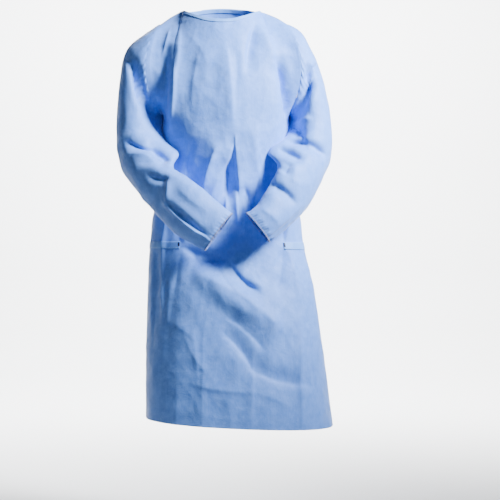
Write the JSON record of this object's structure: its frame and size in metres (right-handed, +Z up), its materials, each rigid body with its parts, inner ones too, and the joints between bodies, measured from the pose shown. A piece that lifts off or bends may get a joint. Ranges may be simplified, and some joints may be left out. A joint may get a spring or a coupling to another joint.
{
  "type": "visitor gown",
  "caption": "Open-back visitor gown of thin nonwoven cloth, hollow as worn, with long bent sleeves, a bound round neck and a tied waist",
  "frame": {"origin": "the middle of the neck opening, level with the inner ends of the shoulder seams, where the wearer's shoulders hold the gown", "axes": "+Z up along the wearer, the front faces -Y, +X is the wearer's left"},
  "size_m": [0.6059, 0.4081, 1.1803],
  "materials": {
    "blue_cloth": "matt nonwoven",
    "blue_trim": "matt nonwoven, folded"
  },
  "bodies": {
    "root": {"front_panel": "blue_cloth", "back_panel_right": "blue_cloth", "back_panel_left": "blue_cloth", "sleeve_right": "blue_cloth", "sleeve_left": "blue_cloth", "cuff_right": "blue_cloth", "cuff_left": "blue_cloth", "neck_binding": "blue_trim", "nape_fastener": "blue_trim", "waist_tie_right": "blue_trim", "waist_tie_left": "blue_trim", "waist_knot": "blue_trim"}
  },
  "joints": []
}
